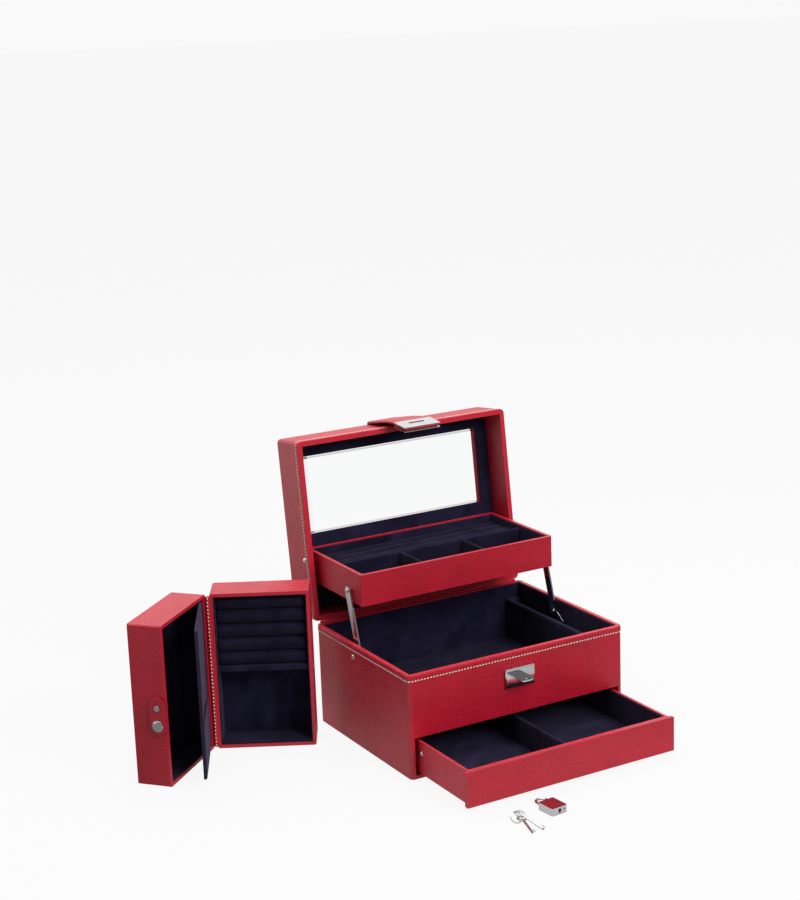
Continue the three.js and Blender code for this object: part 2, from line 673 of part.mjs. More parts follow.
// Suede insert of the base half, with the ledge that carries the ring rolls.
function travelLining(depth) {
  const width = TRAVEL.width - 2 * INSERT.inset;
  const height = TRAVEL.height - 2 * INSERT.inset;
  const deep = depth - INSERT.inset - INSERT.mouth;
  const liner = travelBox(width, height, deep, LINING, LINING, 1);
  return liner.translate(TRAVEL_MIDDLE, RIM_GAP + INSERT.mouth, TRAVEL.height / 2);
}

function baseInsert() {
  const half = TRAVEL.width / 2 - INSERT.inset - LINING / 2;
  const back = RIM_GAP + TRAVEL.base - INSERT.inset - LINING / 2;
  const front = RIM_GAP + INSERT.ledgeMouth;
  const ledge = box(TRAVEL_MIDDLE - half, TRAVEL_MIDDLE + half, front, back, INSERT.ledgeLow, INSERT.ledgeHigh);
  return join(travelLining(TRAVEL.base), ledge);
}

piece('travel_base_shell', travelHalf(TRAVEL.base), leather(), travel);
piece('travel_base_insert', baseInsert(), suede(), travel);

const TRAVEL_ROLLS = 5;
const travelRollTop = TRAVEL.height - INSERT.inset - LINING - GAP;
const TRAVEL_PITCH = (travelRollTop - INSERT.ledgeHigh - GAP) / TRAVEL_ROLLS;
const TRAVEL_ROLL_RADIUS = (TRAVEL_PITCH - GAP) / 2;
for (let i = 0; i < TRAVEL_ROLLS; i += 1) {
  const length = TRAVEL.width - 2 * (INSERT.inset + LINING + GAP) - 1;
  const roll = paddedRoll(TRAVEL_ROLL_RADIUS, length);
  roll.translate(TRAVEL_MIDDLE, RIM_GAP + 5 + TRAVEL_ROLL_RADIUS, travelRollTop - TRAVEL_PITCH * (i + 0.5));
  piece(`travel_ring_roll_${i + 1}`, roll, suede(NAVY_LIGHT), travel);
}

const spineRoll = new THREE.CylinderGeometry(1.1, 1.1, TRAVEL.height - 6, 10).rotateX(Math.PI / 2);
spineRoll.translate(TRAVEL_AXIS.x, TRAVEL_AXIS.y, TRAVEL.height / 2);
piece('travel_spine', spineRoll, leather(), travel);

// Snap stud on the free side of the base half, level with the pivot of the latch tab.
const LATCH = { z: 94, fromRim: 9.7, snap: 20.6, width: 20, above: 12.5, below: 32, lift: 1.2, thick: 2 };
const STUD = { fromRim: LATCH.snap - LATCH.fromRim - 2 * RIM_GAP, radius: 2.5, proud: 0.9 };
const FREE_SIDE = SPINE_GAP + TRAVEL.width;

function latchStud() {
  const x = FREE_SIDE + GAP;
  const top = FREE_SIDE + STUD.proud;
  const profile = [[0, x], [STUD.radius, x], [STUD.radius, x + 0.3], [STUD.radius - 0.5, top], [0, top]];
  return turnedX(profile, RIM_GAP + STUD.fromRim, LATCH.z);
}

piece('latch_stud', latchStud(), chrome(), travel);

// Lid half, drawn shut against the base half and swung open round the spine axis.
const travelHinge = new THREE.Group();
travelHinge.position.set(TRAVEL_AXIS.x, TRAVEL_AXIS.y, 0);
travelHinge.rotation.z = -radians(TRAVEL_OPEN);
travel.add(travelHinge);
const travelLid = new THREE.Group();
travelLid.position.set(-TRAVEL_AXIS.x, -TRAVEL_AXIS.y, 0);
travelHinge.add(travelLid);

// Drawn like the base half, then turned over so that its mouth faces the base half.
function turnedOver(geometry) {
  return geometry.rotateX(Math.PI).translate(0, 0, TRAVEL.height);
}

piece('travel_lid_shell', turnedOver(travelHalf(TRAVEL.lid)), leather(), travelLid);
piece('travel_lid_lining', turnedOver(travelLining(TRAVEL.lid)), suede(), travelLid);

// Leaf that covers the mouth of the lid half, hinged beside the spine.
const LEAF = { width: 101, height: 176, thick: 2.8, axisX: 7.2, axisY: -3.4 };
const leafHinge = new THREE.Group();
leafHinge.position.set(LEAF.axisX, LEAF.axisY, 0);
leafHinge.rotation.z = radians(LEAF_OPEN);
travelLid.add(leafHinge);

function leafPanel() {
  const panel = prism(roundedShape(LEAF.width, LEAF.height, 2), LEAF.thick);
  panel.rotateX(Math.PI / 2).translate(LEAF.width / 2 + 0.6, LEAF.thick / 2, TRAVEL.height / 2);
  return panel;
}

piece('travel_leaf', leafPanel(), suede(NAVY_LIGHT), leafHinge);

// Swivel tab: a round-ended leather tongue that turns on a rivet and snaps to the stud.
function latchTab() {
  const half = LATCH.width / 2;
  const shape = new THREE.Shape();
  shape.absarc(0, LATCH.above - half, half, 0, Math.PI);
  shape.absarc(0, half - LATCH.below, half, Math.PI, 2 * Math.PI);
  shape.closePath();
  for (const [y, radius] of [[0, 1.9], [-LATCH.snap, 3]]) {
    shape.holes.push(new THREE.Path().absarc(0, y, radius, 0, 2 * Math.PI, true));
  }
  return onTab(prism(shape, LATCH.thick, 6).translate(0, 0, LATCH.lift));
}

// From the plane of the tab (x across, y up, z outwards) to the free side of the lid half.
function onTab(geometry) {
  geometry.rotateX(Math.PI / 2).rotateZ(Math.PI / 2);
  return geometry.translate(FREE_SIDE, -RIM_GAP - LATCH.fromRim, LATCH.z);
}

function turnedZ(profile, segments = 16) {
  const points = profile.map(([radius, z]) => new THREE.Vector2(radius, z));
  return new THREE.LatheGeometry(points, segments).rotateX(Math.PI / 2);
}

const TAB_FACE = LATCH.lift + LATCH.thick + GAP;

function latchRivet() {
  const profile = [
    [0, GAP], [3.2, GAP], [3.2, LATCH.lift - GAP], [1.5, LATCH.lift - GAP], [1.5, TAB_FACE],
    [3.6, TAB_FACE], [3.3, TAB_FACE + 0.8], [0, TAB_FACE + 1.4],
  ];
  return onTab(turnedZ(profile));
}

// Snap cap: a dome outside and an open socket for the stud inside.
function latchSnap() {
  const outer = [[0, 0], [7, 0], [6.6, 1], [4.5, 1.8], [0, 2.1]];
  const socket = [[0, -1], [2.6, -1], [2.6, 0.9], [0, 0.9]];
  return onTab(cut(turnedZ(outer), turnedZ(socket)).translate(0, -LATCH.snap, TAB_FACE));
}

piece('latch_tab', latchTab(), leather(), travelLid);
piece('latch_rivet', latchRivet(), chrome(), travelLid);
piece('latch_snap', latchSnap(), chrome(), travelLid);

// ---------------------------------------------------------------- padlock

const PADLOCK = { width: 20.5, length: 24, thick: 8.4, shackle: 16, rise: 14, wire: 1.5 };
const padlock = new THREE.Group();
padlock.position.set(-60.3, -260.5, 0);
padlock.rotation.z = radians(5);
jewelleryCase.add(padlock);

// Lies on its back: the shackle points to +Y and the keyway opens on the -Y end.
function padlockBody() {
  const body = prism(roundedShape(PADLOCK.width, PADLOCK.length, 2), PADLOCK.thick);
  const end = PADLOCK.length / 2;
  const keyway = new THREE.CylinderGeometry(1.7, 1.7, 10, 12).translate(0, -end, PADLOCK.thick / 2);
  const legs = SIDES.map(([, side]) => shackleHole(side));
  return cut(body, keyway, ...legs);
}

function shackleHole(side) {
  const hole = new THREE.CylinderGeometry(PADLOCK.wire + GAP, PADLOCK.wire + GAP, 18, 12);
  const x = side * (PADLOCK.shackle / 2 - PADLOCK.wire);
  return hole.translate(x, PADLOCK.length / 2, PADLOCK.thick / 2);
}

function padlockShackle() {
  const reach = PADLOCK.shackle / 2 - PADLOCK.wire;
  const root = PADLOCK.length / 2 - 8;
  const bend = PADLOCK.length / 2 + PADLOCK.rise - PADLOCK.shackle / 2;
  const path = new THREE.CurvePath();
  path.add(new THREE.LineCurve3(new THREE.Vector3(-reach, root, 0), new THREE.Vector3(-reach, bend, 0)));
  const arc = [];
  const steps = 10;
  for (let i = 0; i <= steps; i += 1) {
    const angle = Math.PI * (1 - i / steps);
    arc.push(new THREE.Vector3(reach * Math.cos(angle), bend + reach * Math.sin(angle), 0));
  }
  for (let i = 1; i <= steps; i += 1) path.add(new THREE.LineCurve3(arc[i - 1], arc[i]));
  path.add(new THREE.LineCurve3(arc[steps], new THREE.Vector3(reach, root, 0)));
  const section = new THREE.Shape().absarc(0, 0, PADLOCK.wire, 0, 2 * Math.PI);
  const options = { steps: 32, bevelEnabled: false, extrudePath: path, curveSegments: 5 };
  return new THREE.ExtrudeGeometry(section, options).translate(0, 0, PADLOCK.thick / 2);
}

piece('padlock_body', padlockBody(), chrome(), padlock);
piece('padlock_shackle', padlockShackle(), chrome(), padlock);

// ---------------------------------------------------------------- keys

const RING = { x: -107.5, y: -262, radius: 6.5, wire: 0.55, tilt: 45 };
const RING_Z = RING.radius * Math.sin(radians(RING.tilt)) + RING.wire + 0.1;
const KEY = { bow: 5.8, hole: 3.2, thick: 1.2, shaft: 1.5 };

function splitRing() {
  const ring = new THREE.TorusGeometry(RING.radius, RING.wire, 6, 24);
  return ring.rotateX(radians(RING.tilt)).translate(RING.x, RING.y, RING_Z);
}

// A point on the ring, by its angle from +X.
function onRing(degrees) {
  const angle = radians(degrees);
  const up = RING.radius * Math.sin(angle);
  const tilt = radians(RING.tilt);
  return new THREE.Vector3(
    RING.x + RING.radius * Math.cos(angle), RING.y + up * Math.cos(tilt), RING_Z + up * Math.sin(tilt),
  );
}

// Barrel key: round bow threaded on the ring, hollow shaft and a small bit. Built along +X.
function key(length) {
  const disc = new THREE.Shape().absarc(0, 0, KEY.bow, 0, 2 * Math.PI);
  disc.holes.push(new THREE.Path().absarc(0, 0, KEY.hole, 0, 2 * Math.PI, true));
  const bow = prism(disc, KEY.thick, 10).translate(0, 0, -KEY.thick / 2);
  const shaft = barX(KEY.shaft, KEY.bow - 1, length, 0, 0, 10);
  const bit = box(length - 6, length - 1.5, 0.4, 4.2, -0.7, 0.7);
  const bore = barX(0.8, length - 5, length + 1, 0, 0, 8);
  return cut(join(bow, shaft, bit), bore);
}

function placeKey(name, ringAngle, lift, heading, length) {
  const hole = onRing(ringAngle);
  const group = new THREE.Group();
  group.position.set(hole.x, hole.y, hole.z + lift);
  group.rotation.z = radians(heading);
  jewelleryCase.add(group);
  const mesh = piece(name, key(length), chrome(), group);
  const drop = hole.z + lift - KEY.shaft - 0.15;
  mesh.rotation.y = Math.asin(drop / length);
}

piece('key_ring', splitRing(), chrome(), jewelleryCase);
placeKey('key_a', -25, 0, -104, 32);
placeKey('key_b', 28, 0.3, -80, 36);

export default jewelleryCase;
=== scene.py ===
"""Finished look of the leather jewellery case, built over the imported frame.

Metres, in the frame's own axes: +Z up, front towards -Y. Pieces drawn with the lid or the travel
case shut are turned into their open place by the matrices LID and TRAVEL_LID.
"""

import json
from math import atan2, cos, pi, radians, sin

import bpy
from mathutils import Matrix, Vector


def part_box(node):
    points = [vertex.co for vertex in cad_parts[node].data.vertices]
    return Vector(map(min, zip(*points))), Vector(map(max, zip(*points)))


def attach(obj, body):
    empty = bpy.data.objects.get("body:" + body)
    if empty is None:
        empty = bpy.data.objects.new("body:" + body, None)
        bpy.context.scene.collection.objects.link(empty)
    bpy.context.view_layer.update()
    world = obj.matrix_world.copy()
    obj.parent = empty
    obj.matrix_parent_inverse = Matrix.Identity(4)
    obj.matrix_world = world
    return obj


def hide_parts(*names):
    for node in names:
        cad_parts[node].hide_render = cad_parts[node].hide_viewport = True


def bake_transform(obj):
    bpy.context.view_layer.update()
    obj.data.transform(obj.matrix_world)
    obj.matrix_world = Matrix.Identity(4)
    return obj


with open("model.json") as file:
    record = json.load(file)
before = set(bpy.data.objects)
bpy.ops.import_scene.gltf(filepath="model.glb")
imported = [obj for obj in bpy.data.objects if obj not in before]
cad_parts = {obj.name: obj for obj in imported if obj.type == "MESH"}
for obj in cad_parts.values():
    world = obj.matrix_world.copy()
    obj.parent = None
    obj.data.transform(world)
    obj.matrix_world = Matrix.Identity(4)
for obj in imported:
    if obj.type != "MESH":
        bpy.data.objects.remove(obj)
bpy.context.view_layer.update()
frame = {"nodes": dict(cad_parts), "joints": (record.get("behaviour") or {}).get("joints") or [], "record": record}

MM = 0.001
NODES = frame["nodes"]
JOINTS = {joint["name"]: joint for joint in frame["joints"]}
SLOTS = {part["node"]: part["material_slot"] for part in frame["record"]["subparts"]}
COLLECTION = bpy.context.scene.collection

# ---------------------------------------------------------------- places taken from the frame


def turn(degrees, axis):
    """Rotation about a world axis through the origin."""
    return Matrix.Rotation(radians(degrees), 4, axis)


HINGE = Vector(JOINTS["lid_hinge"]["pos_m"])
LID_OPEN = JOINTS["lid_hinge"]["range_deg"][1]
LID = Matrix.Translation(HINGE) @ turn(-LID_OPEN, "X")

SPINE = Vector(JOINTS["travel_lid_hinge"]["pos_m"])
SPINE.z = 0
TRAVEL_OPEN = JOINTS["travel_lid_hinge"]["range_deg"][1]
LATCH_AXIS = Vector(JOINTS["latch_swivel"]["axis"])
TRAVEL_TURN = (atan2(LATCH_AXIS.y, LATCH_AXIS.x) + radians(TRAVEL_OPEN)) * 180 / pi
SPINE_LOCAL = Vector((-1 * MM, 2.5 * MM, 0))
TRAVEL = Matrix.Translation(SPINE) @ turn(TRAVEL_TURN, "Z") @ Matrix.Translation(-SPINE_LOCAL)
TRAVEL_LID = (
    Matrix.Translation(SPINE) @ turn(TRAVEL_TURN - TRAVEL_OPEN, "Z") @ Matrix.Translation(-SPINE_LOCAL)
)

CASE_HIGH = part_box("case_shell")[1]
HALF_WIDTH = CASE_HIGH.x
HALF_DEPTH = CASE_HIGH.y
CORNER = 5 * MM
LID_RIM = 0.4 * MM  # lid rim above the hinge axis, lid shut
BACK_GAP = 1.7 * MM  # from the hinge axis to the case's back wall
LID_MIDDLE = -BACK_GAP - HALF_DEPTH
LID_FRONT = LID_MIDDLE - HALF_DEPTH
TRAVEL_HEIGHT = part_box("travel_base_shell")[1].z

# ---------------------------------------------------------------- camera, floor and light

CAMERA_PLACE = Vector((-1.07884, -1.7633, 0.84142))
CAMERA_YAW = radians(29.4535)
CAMERA_PITCH = radians(13.6952)
CAMERA_ROLL = radians(-2.1332)
FOCAL_SHARE = 2.30086  # focal length over picture width

PALE = 0.945  # floor and backdrop as seen
SHADOW_SHARE = 0.045  # part of that white that comes from the lamps and so can fall into shadow
BRIGHT_SIDE = Vector((-0.1, 0.84, 0.52))  # the studio is brightest behind and above
BACK_LIGHT = 1.0
FRONT_LIGHT = 0.2
LIGHT_SPAN = (-0.3, 0.75)  # how far towards BRIGHT_SIDE the light grows from front to back light

# What the floor throws on the object: a pool of light near it, and a sweep far away on the left.
FLOOR_BASE = 0.14
FLOOR_LIGHT = 0.03
POOL = {"centre": (-0.05, -0.1, 0), "edge": (0.28, 0.42), "light": 0.42}
SWEEP = {"toward": (-0.4, 0.92, 0), "edge": (0.4, 1.1), "light": 0.6}


def add_camera():
    """Long lens from the front left, a little above the open lid."""
    forward = Vector((
        sin(CAMERA_YAW) * cos(CAMERA_PITCH), cos(CAMERA_YAW) * cos(CAMERA_PITCH), -sin(CAMERA_PITCH),
    ))
    level = Vector((cos(CAMERA_YAW), -sin(CAMERA_YAW), 0))
    upright = level.cross(forward)
    right = cos(CAMERA_ROLL) * level + sin(CAMERA_ROLL) * upright
    up = cos(CAMERA_ROLL) * upright - sin(CAMERA_ROLL) * level
    data = bpy.data.cameras.new("camera")
    data.sensor_fit = "HORIZONTAL"
    data.sensor_width = 36
    data.lens = 36 * FOCAL_SHARE
    data.clip_end = 100
    camera = bpy.data.objects.new("camera", data)
    camera.matrix_world = Matrix((
        (right.x, up.x, -forward.x, CAMERA_PLACE.x),
        (right.y, up.y, -forward.y, CAMERA_PLACE.y),
        (right.z, up.z, -forward.z, CAMERA_PLACE.z),
        (0, 0, 0, 1),
    ))
    COLLECTION.objects.link(camera)
    bpy.context.scene.camera = camera


def add_softbox(name, place, aim, size, power, reflected=True):
    """Rectangular lamp; one that isn't reflected leaves no highlight on the object."""
    data = bpy.data.lights.new(name, "AREA")
    data.shape = "RECTANGLE"
    data.size, data.size_y = size
    data.energy = power
    lamp = bpy.data.objects.new(name, data)
    lamp.location = place
    lamp.rotation_euler = (Vector(aim) - Vector(place)).to_track_quat("-Z", "Y").to_euler()
    lamp.visible_glossy = reflected
    COLLECTION.objects.link(lamp)


def seen_as_white(nodes, links):
    """1 for rays that should meet an even white: from the camera, also by way of the flat mirror."""
    path = nodes.new("ShaderNodeLightPath")
    either = nodes.new("ShaderNodeMath")
    either.operation = "MAXIMUM"
    links.new(path.outputs["Is Camera Ray"], either.inputs[0])
    links.new(path.outputs["Is Singular Ray"], either.inputs[1])
    return either.outputs[0]


def ramp_node(nodes, links, value, span, result):
    """The value taken from one range to another, held at both ends."""
    node = nodes.new("ShaderNodeMapRange")
    node.inputs["From Min"].default_value, node.inputs["From Max"].default_value = span
    node.inputs["To Min"].default_value, node.inputs["To Max"].default_value = result
    links.new(value, node.inputs["Value"])
    return node.outputs[0]


def add_world():
    """Bright backdrop behind the object, dim studio behind the camera, and even white where seen."""
    world = bpy.data.worlds.new("studio")
    bpy.context.scene.world = world
    world.use_nodes = True
    nodes, links = world.node_tree.nodes, world.node_tree.links
    background = nodes["Background"]
    place = nodes.new("ShaderNodeTexCoord")
    toward = nodes.new("ShaderNodeVectorMath")
    toward.operation = "DOT_PRODUCT"
    toward.inputs[1].default_value = BRIGHT_SIDE
    links.new(place.outputs["Generated"], toward.inputs[0])
    light = ramp_node(nodes, links, toward.outputs["Value"], LIGHT_SPAN, (FRONT_LIGHT, BACK_LIGHT))
    mix = nodes.new("ShaderNodeMix")
    mix.data_type = "RGBA"
    links.new(seen_as_white(nodes, links), mix.inputs["Factor"])
    links.new(light, mix.inputs[6])
    mix.inputs[7].default_value = (*(PALE,) * 3, 1)
    links.new(mix.outputs[2], background.inputs["Color"])


def floor_glow(nodes, links):
    """What the floor throws on the object: light near it, dark around that, bright far back left."""
    place = nodes.new("ShaderNodeTexCoord")
    near = nodes.new("ShaderNodeVectorMath")
    near.operation = "DISTANCE"
    near.inputs[1].default_value = POOL["centre"]
    far = nodes.new("ShaderNodeVectorMath")
    far.operation = "DOT_PRODUCT"
    far.inputs[1].default_value = SWEEP["toward"]
    for node in (near, far):
        links.new(place.outputs["Object"], node.inputs[0])
    pool = ramp_node(nodes, links, near.outputs["Value"], POOL["edge"], (POOL["light"], FLOOR_LIGHT))
    sweep = ramp_node(nodes, links, far.outputs["Value"], SWEEP["edge"], (0.0, SWEEP["light"]))
    glow = nodes.new("ShaderNodeMath")
    glow.operation = "MAXIMUM"
    links.new(pool, glow.inputs[0])
    links.new(sweep, glow.inputs[1])
    return glow.outputs[0]


def add_floor():
    """Pale floor that keeps faint shadows; what it throws back on the object is dimmer."""
    mesh = bpy.data.meshes.new("floor")
    reach = 40
    corners = [(-reach, -reach, 0), (reach, -reach, 0), (reach, reach, 0), (-reach, reach, 0)]
    mesh.from_pydata(corners, [], [(0, 1, 2, 3)])
    floor = bpy.data.objects.new("floor", mesh)
    COLLECTION.objects.link(floor)
    material = bpy.data.materials.new("pale_floor")
    material.use_nodes = True
    nodes, links = material.node_tree.nodes, material.node_tree.links
    shown = nodes["Principled BSDF"]
    thrown = nodes.new("ShaderNodeBsdfPrincipled")
    for surface, base in ((shown, SHADOW_SHARE), (thrown, FLOOR_BASE)):
        surface.inputs["Base Color"].default_value = (base, base, base, 1)
        surface.inputs["Roughness"].default_value = 0.9
        surface.inputs["Specular IOR Level"].default_value = 0
        surface.inputs["Emission Color"].default_value = (1, 1, 1, 1)
    shown.inputs["Emission Strength"].default_value = PALE - SHADOW_SHARE
    links.new(floor_glow(nodes, links), thrown.inputs["Emission Strength"])
    mix = nodes.new("ShaderNodeMixShader")
    links.new(seen_as_white(nodes, links), mix.inputs[0])
    links.new(thrown.outputs[0], mix.inputs[1])
    links.new(shown.outputs[0], mix.inputs[2])
    links.new(mix.outputs[0], nodes["Material Output"].inputs["Surface"])
    mesh.materials.append(material)


# ---------------------------------------------------------------- materials

RED = (0.50, 0.005, 0.023)
# darker red painted into the leather's creases as shade
RED_CREASE_SHADE = (0.24, 0.004, 0.016)
RED_EDGE = (0.56, 0.011, 0.032)
NAVY = (0.0105, 0.0095, 0.024)
NAVY_SOFT = (0.0095, 0.008, 0.020)
NAVY_LEAF = (0.024, 0.0165, 0.036)
THREAD = (0.93, 0.86, 0.74)


def tinted(colour, share):
    return tuple(share * c for c in colour)


class Shader:
    """A material being put together: node() adds a node and sets or wires its inputs."""

    def __init__(self, name):
        self.material = bpy.data.materials.new(name)
        self.material.use_nodes = True
        self.tree = self.material.node_tree
        self.surface = self.tree.nodes["Principled BSDF"]
        self.place = self.tree.nodes.new("ShaderNodeTexCoord").outputs["Object"]

    def put(self, node, inputs):
        for name, value in inputs.items():
            if isinstance(value, bpy.types.NodeSocket):
                self.tree.links.new(value, node.inputs[name])
            else:
                node.inputs[name].default_value = value

    def node(self, kind, settings, inputs):
        node = self.tree.nodes.new("ShaderNode" + kind)
        for name, value in settings.items():
            setattr(node, name, value)
        self.put(node, inputs)
        return node

    def noise(self, scale, detail=2, place=None, stretch=None):
        place = self.place if place is None else place
        if stretch is not None:
            place = self.node("Mapping", {}, {"Vector": place, "Scale": stretch}).outputs[0]
        inputs = {"Vector": place, "Scale": scale, "Detail": detail, "Roughness": 0.55}
        return self.node("TexNoise", {}, inputs).outputs["Fac"]

    def math(self, operation, a, b, clamp=False):
        return self.node("Math", {"operation": operation, "use_clamp": clamp}, {0: a, 1: b}).outputs[0]

    def ramp(self, value, low, high, to_low=0.0, to_high=1.0):
        inputs = {"Value": value, "From Min": low, "From Max": high, "To Min": to_low, "To Max": to_high}
        return self.node("MapRange", {}, inputs).outputs[0]

    def mix(self, share, a, b):
        node = self.tree.nodes.new("ShaderNodeMix")
        node.data_type = "RGBA"
        colours = {6: a, 7: b}
        for socket, value in colours.items():
            if isinstance(value, tuple):
                value = (*value, 1)
            self.put(node, {socket: value})
        self.put(node, {0: share})
        return node.outputs[2]

    def bump(self, height, strength, distance, under=None):
        inputs = {"Height": height, "Strength": strength, "Distance": distance}
        if under is not None:
            inputs["Normal"] = under
        return self.node("Bump", {}, inputs).outputs["Normal"]

    def finish(self, **sockets):
        self.put(self.surface, {name.replace("_", " "): value for name, value in sockets.items()})
        return self.material


def grain_height(shader, size):
    """Pebbles of the given size with slightly wandering outlines, as 0 in the creases to 1 on top."""
    wander = shader.node("TexNoise", {}, {"Vector": shader.place, "Scale": 0.35 / size, "Detail": 2})
    shifted = shader.node(
        "VectorMath", {"operation": "MULTIPLY_ADD"},
        {0: wander.outputs["Color"], 1: (1.6 * size,) * 3, 2: shader.place},
    )
    cells = shader.node(
        "TexVoronoi", {"feature": "SMOOTH_F1"},
        {"Vector": shifted.outputs[0], "Scale": 1 / size, "Smoothness": 0.35},
    )
    return shader.ramp(cells.outputs["Distance"], 0.65, 0.1)


def leather(name, colour=RED, crease_shade=RED_CREASE_SHADE, rim=None, rim_width=1.7 * MM, grain=1.25 * MM):
    """Pebbled calf leather. rim is (point, normal) of an opening whose turned edge is brighter."""
    shader = Shader(name)
    pebbles = grain_height(shader, grain)
    broad = shader.noise(28, 3)
    pores = shader.noise(2600, 1)
    body = shader.mix(shader.ramp(broad, 0.3, 0.7), tinted(colour, 0.86), tinted(colour, 1.08))
    # Painted shade: the creases between the pebbles are darkened towards the crease colour.
    shade = shader.mix(shader.ramp(pebbles, 0.0, 0.55, 0.45, 0.0), body, crease_shade)
    rough = shader.ramp(shader.noise(160, 3), 0.25, 0.75, 0.34, 0.5)
    waves = shader.bump(shader.noise(240, 2), 0.8, 0.6 * MM)
    normal = shader.bump(pebbles, 0.85, 0.3 * MM, waves)
    normal = shader.bump(pores, 0.12, 0.1 * MM, normal)
    if rim is not None:
        point, outward = rim
        inputs = {0: shader.place, 1: tuple(outward)}
        along = shader.node("VectorMath", {"operation": "DOT_PRODUCT"}, inputs)
        reach = point.dot(outward)
        edge = shader.ramp(along.outputs["Value"], reach - rim_width, reach - 0.5 * rim_width)
        worn = shader.mix(shader.noise(900, 3), RED_EDGE, tinted(RED_EDGE, 0.8))
        shade = shader.mix(edge, shade, worn)
    return shader.finish(
        Base_Color=shade, Roughness=rough, Normal=normal, Specular_IOR_Level=0.7,
    )


def suede(name, colour=NAVY, light=1.9):
    """Short nap with paler brush marks where it lies the other way."""
    shader = Shader(name)
    strokes = shader.noise(34, 4, stretch=(1, 1.7, 1))
    nap = shader.noise(1500, 3)
    mixed = shader.math("ADD", shader.math("MULTIPLY", strokes, 0.75), shader.math("MULTIPLY", nap, 0.25))
    shade = shader.mix(shader.ramp(mixed, 0.34, 0.66), tinted(colour, 0.72), tinted(colour, light))
    normal = shader.bump(strokes, 0.25, 0.6 * MM)
    normal = shader.bump(nap, 0.4, 0.18 * MM, normal)
    return shader.finish(
        Base_Color=shade, Roughness=shader.ramp(nap, 0.2, 0.8, 0.86, 1.0), Normal=normal,
        Specular_IOR_Level=0.1, Sheen_Weight=0.14, Sheen_Roughness=0.4, Sheen_Tint=(0.6, 0.5, 0.75, 1),
    )


def chrome(name, tone=0.74):
    """Polished nickel plate with faint polishing lines and finger marks."""
    shader = Shader(name)
    marks = shader.noise(90, 4)
    lines = shader.noise(1400, 2, stretch=(1, 6, 1))
    bright = (tone, tone, 1.02 * tone)
    return shader.finish(
        Base_Color=shader.mix(shader.ramp(marks, 0.35, 0.7), bright, tinted(bright, 0.95)), Metallic=1.0,
        Roughness=shader.ramp(marks, 0.3, 0.75, 0.06, 0.1), Normal=shader.bump(lines, 0.02, 0.05 * MM),
    )


# Painted reflection: away from its upright edges the mirror glows white of its own over dimmed silver.
PAINTED_REFLECTION = {"light": 0.58, "silver": (0.38, 0.385, 0.39), "stops": (8 * MM, 7 * MM)}


def mirror_glass(name):
    """Dimmed silver with a white glow of its own as painted reflection, turning to plain silver by the two upright
    edges.
    """
    shader = Shader(name)
    film = shader.noise(18, 3)
    half_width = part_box("mirror")[1].x
    across = shader.node("SeparateXYZ", {}, {0: shader.place}).outputs["X"]
    aside = shader.math("ABSOLUTE", across, 0.0)
    edge = shader.ramp(aside, half_width - PAINTED_REFLECTION["stops"][0], half_width - PAINTED_REFLECTION["stops"][1])
    silver = shader.mix(film, (0.97, 0.975, 0.98), (0.93, 0.94, 0.95))
    # The white emission is painted reflection.
    return shader.finish(
        Base_Color=shader.mix(edge, PAINTED_REFLECTION["silver"], silver), Metallic=1.0, Roughness=0.0,
        Emission_Color=(1, 1, 1, 1), Emission_Strength=shader.ramp(edge, 0, 1, PAINTED_REFLECTION["light"], 0.0),
    )


def thread(name, colour=THREAD):
    """Waxed linen thread: twisted strands that catch the light, darkened between them as painted shade."""
    shader = Shader(name)
    inputs = {"Vector": shader.place, "Scale": 900, "Distortion": 3}
    twist = shader.node("TexWave", {"bands_direction": "DIAGONAL"}, inputs).outputs["Fac"]
    # Painted shade: the colour darkens in the grooves of the twist.
    return shader.finish(
        Base_Color=shader.mix(twist, tinted(colour, 0.72), colour),
        Roughness=shader.ramp(twist, 0, 1, 0.55, 0.75), Normal=shader.bump(twist, 0.5, 0.1 * MM),
    )


def make_materials():
    """All materials by their short names. A rim is a point on an opening and the way it faces."""
    up = Vector((0, 0, 1))
    lid_rim = (LID @ Vector((0, 0, LID_RIM)), LID.to_3x3() @ -up)
    tray_rim = (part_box("tray_shell")[1], up)
    mouth_lip = Vector((0, 0.5 * MM, 0))
    base_mouth = (TRAVEL @ mouth_lip, TRAVEL.to_3x3() @ Vector((0, -1, 0)))
    lid_mouth = (TRAVEL_LID @ -mouth_lip, TRAVEL_LID.to_3x3() @ Vector((0, 1, 0)))
    return {
        "leather": leather("red_leather"),
        "case": leather("case_leather", rim=(CASE_HIGH, up)),
        "lid": leather("lid_leather", rim=lid_rim),
        "tray": leather("tray_leather", rim=tray_rim, rim_width=0.9 * MM),
        "travel_base": leather("travel_leather", rim=base_mouth),
        "travel_lid": leather("travel_lid_leather", rim=lid_mouth),
        "edge": leather("turned_edge", RED_EDGE, RED, grain=0.9 * MM),
        "suede": suede("navy_suede"),
        "soft": suede("padded_suede", NAVY_SOFT, 1.6),
        "leaf": suede("leaf_suede", NAVY_LEAF, 1.4),
        "metal": chrome("bright_metal"),
        # near-black sheets: painted shade in the keyhole and the pocket's mouth, and the rivet's colour
        "dark": chrome("near_black", 0.03),
        # mirror with a painted reflection: a white glow away from its upright edges
        "glass": mirror_glass("mirror_glass"),
        "thread": thread("cream_thread"),
    }


# ---------------------------------------------------------------- finish of the CAD nodes


WELD = 0.01 * MM


def clean(mesh):
    """Drops the imported normals and shades every face smooth."""
    custom = mesh.attributes.get("custom_normal")
    if custom is not None:
        mesh.attributes.remove(custom)
    mesh.shade_smooth()


